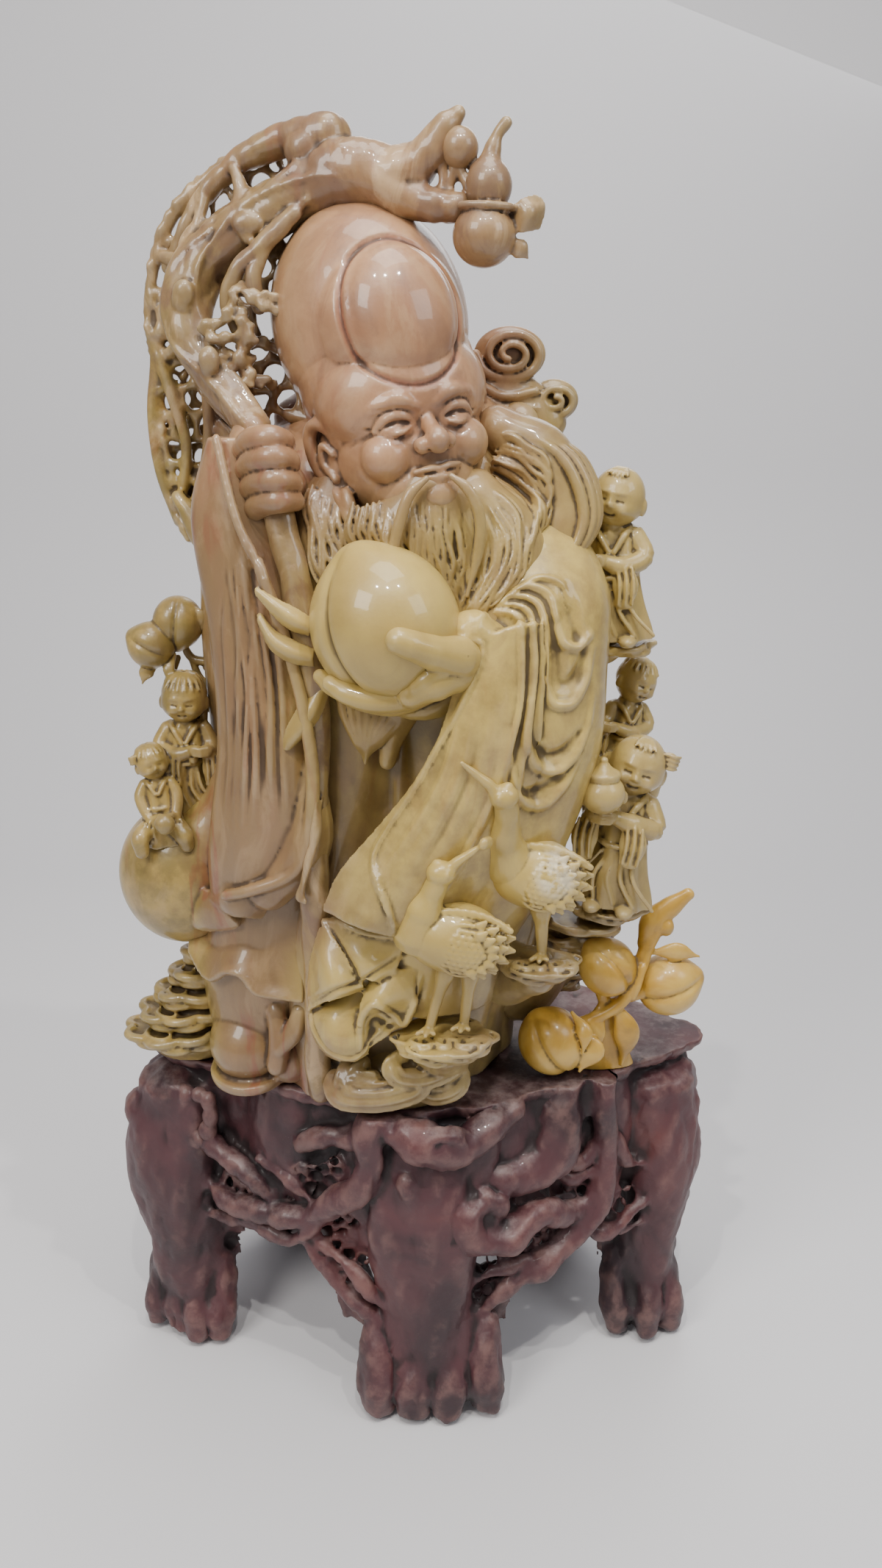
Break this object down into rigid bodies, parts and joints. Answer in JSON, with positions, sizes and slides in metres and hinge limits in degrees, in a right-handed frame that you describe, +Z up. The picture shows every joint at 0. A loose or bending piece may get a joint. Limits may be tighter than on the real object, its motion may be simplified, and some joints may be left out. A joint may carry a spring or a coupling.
{
  "type": "stone carving",
  "caption": "Soapstone carving of a high-browed sage with staff and peach, children, cranes and clouds, on a root-carved stone stand.",
  "frame": {"origin": "middle of the underside of the stand, on the surface it stands on", "axes": "+Z up, the figure faces -Y, +X is the viewer's right"},
  "size_m": [0.3896, 0.2434, 0.7531],
  "materials": {
    "soapstone": "waxed and polished, pink-brown to cream and yellow",
    "yellow_stone": "waxed and polished, golden yellow",
    "red_stone": "dull polish, dark purple red, dusty on its edges"
  },
  "bodies": {
    "root": {"carving": "soapstone", "peach_spray": "yellow_stone", "stand": "red_stone"}
  },
  "joints": []
}
